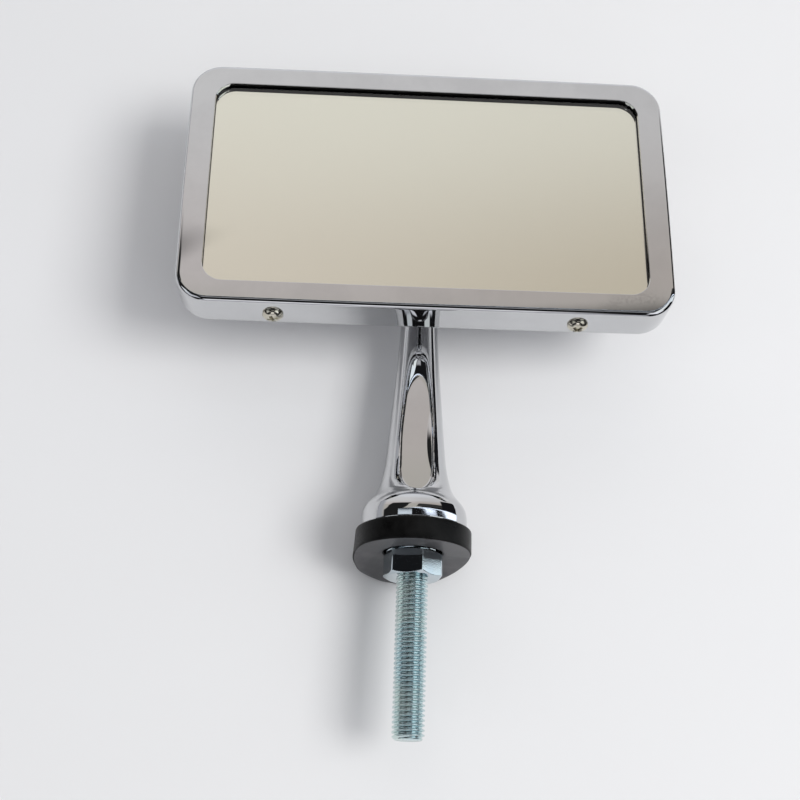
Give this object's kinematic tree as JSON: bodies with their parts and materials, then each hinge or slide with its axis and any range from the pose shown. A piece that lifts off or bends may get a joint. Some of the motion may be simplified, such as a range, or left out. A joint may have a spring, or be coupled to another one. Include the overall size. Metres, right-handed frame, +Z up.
{
  "type": "rearview mirror",
  "caption": "Rectangular chrome interior rearview mirror on a ball joint, with a tapered pedestal stem, rubber gasket, and a threaded stud with spring washer and nut.",
  "frame": {"origin": "centre of the mounting seat: the middle of the gasket's underside, where it rests on the panel", "axes": "+Z up the stem and away from the panel, -Y the way the mirror glass faces, +X to the viewer's right when looking into the glass"},
  "size_m": [0.1282, 0.0381, 0.1744],
  "materials": {
    "chrome": "bright chrome plate, polished",
    "mirror": "silvered flat glass with a faint green tint",
    "rubber": "black moulded rubber, satin",
    "zinc": "bright zinc plate with a blue passivation",
    "nickel": "nickel plate, slightly yellowed",
    "spring_steel": "blued spring steel",
    "nylon": "natural nylon",
    "card": "pressed brown fibre card"
  },
  "bodies": {
    "base": {"stem": "chrome", "ball_stud": "chrome", "threaded_stud": "zinc", "gasket": "rubber", "spring_washer": "zinc", "hex_nut": "zinc"},
    "rear_seat": {"rear_ball_seat": "nylon"},
    "front_seat": {"front_ball_seat": "nylon"},
    "head": {"bezel_case": "chrome", "mirror_glass": "mirror", "glazing_strip": "rubber", "backing_card": "card", "pressure_pads": "rubber", "rear_cover": "chrome", "case_screws": "nickel", "nut_clips": "zinc", "spring_plate": "spring_steel", "plate_screws": "zinc"}
  },
  "joints": [
    {"name": "head_swivel", "type": "hinge", "parent": "base", "child": "rear_seat", "pos_m": [0, -0.0115, 0.0925], "axis": [0, 0, 1], "range_deg": [-12, 12]},
    {"name": "head_tilt", "type": "hinge", "parent": "rear_seat", "child": "front_seat", "pos_m": [0, -0.0115, 0.0925], "axis": [1, 0, 0], "range_deg": [-15, 7]},
    {"name": "head_roll", "type": "hinge", "parent": "front_seat", "child": "head", "pos_m": [0, -0.0115, 0.0925], "axis": [0, 1, 0], "range_deg": [-15, 15]}
  ]
}
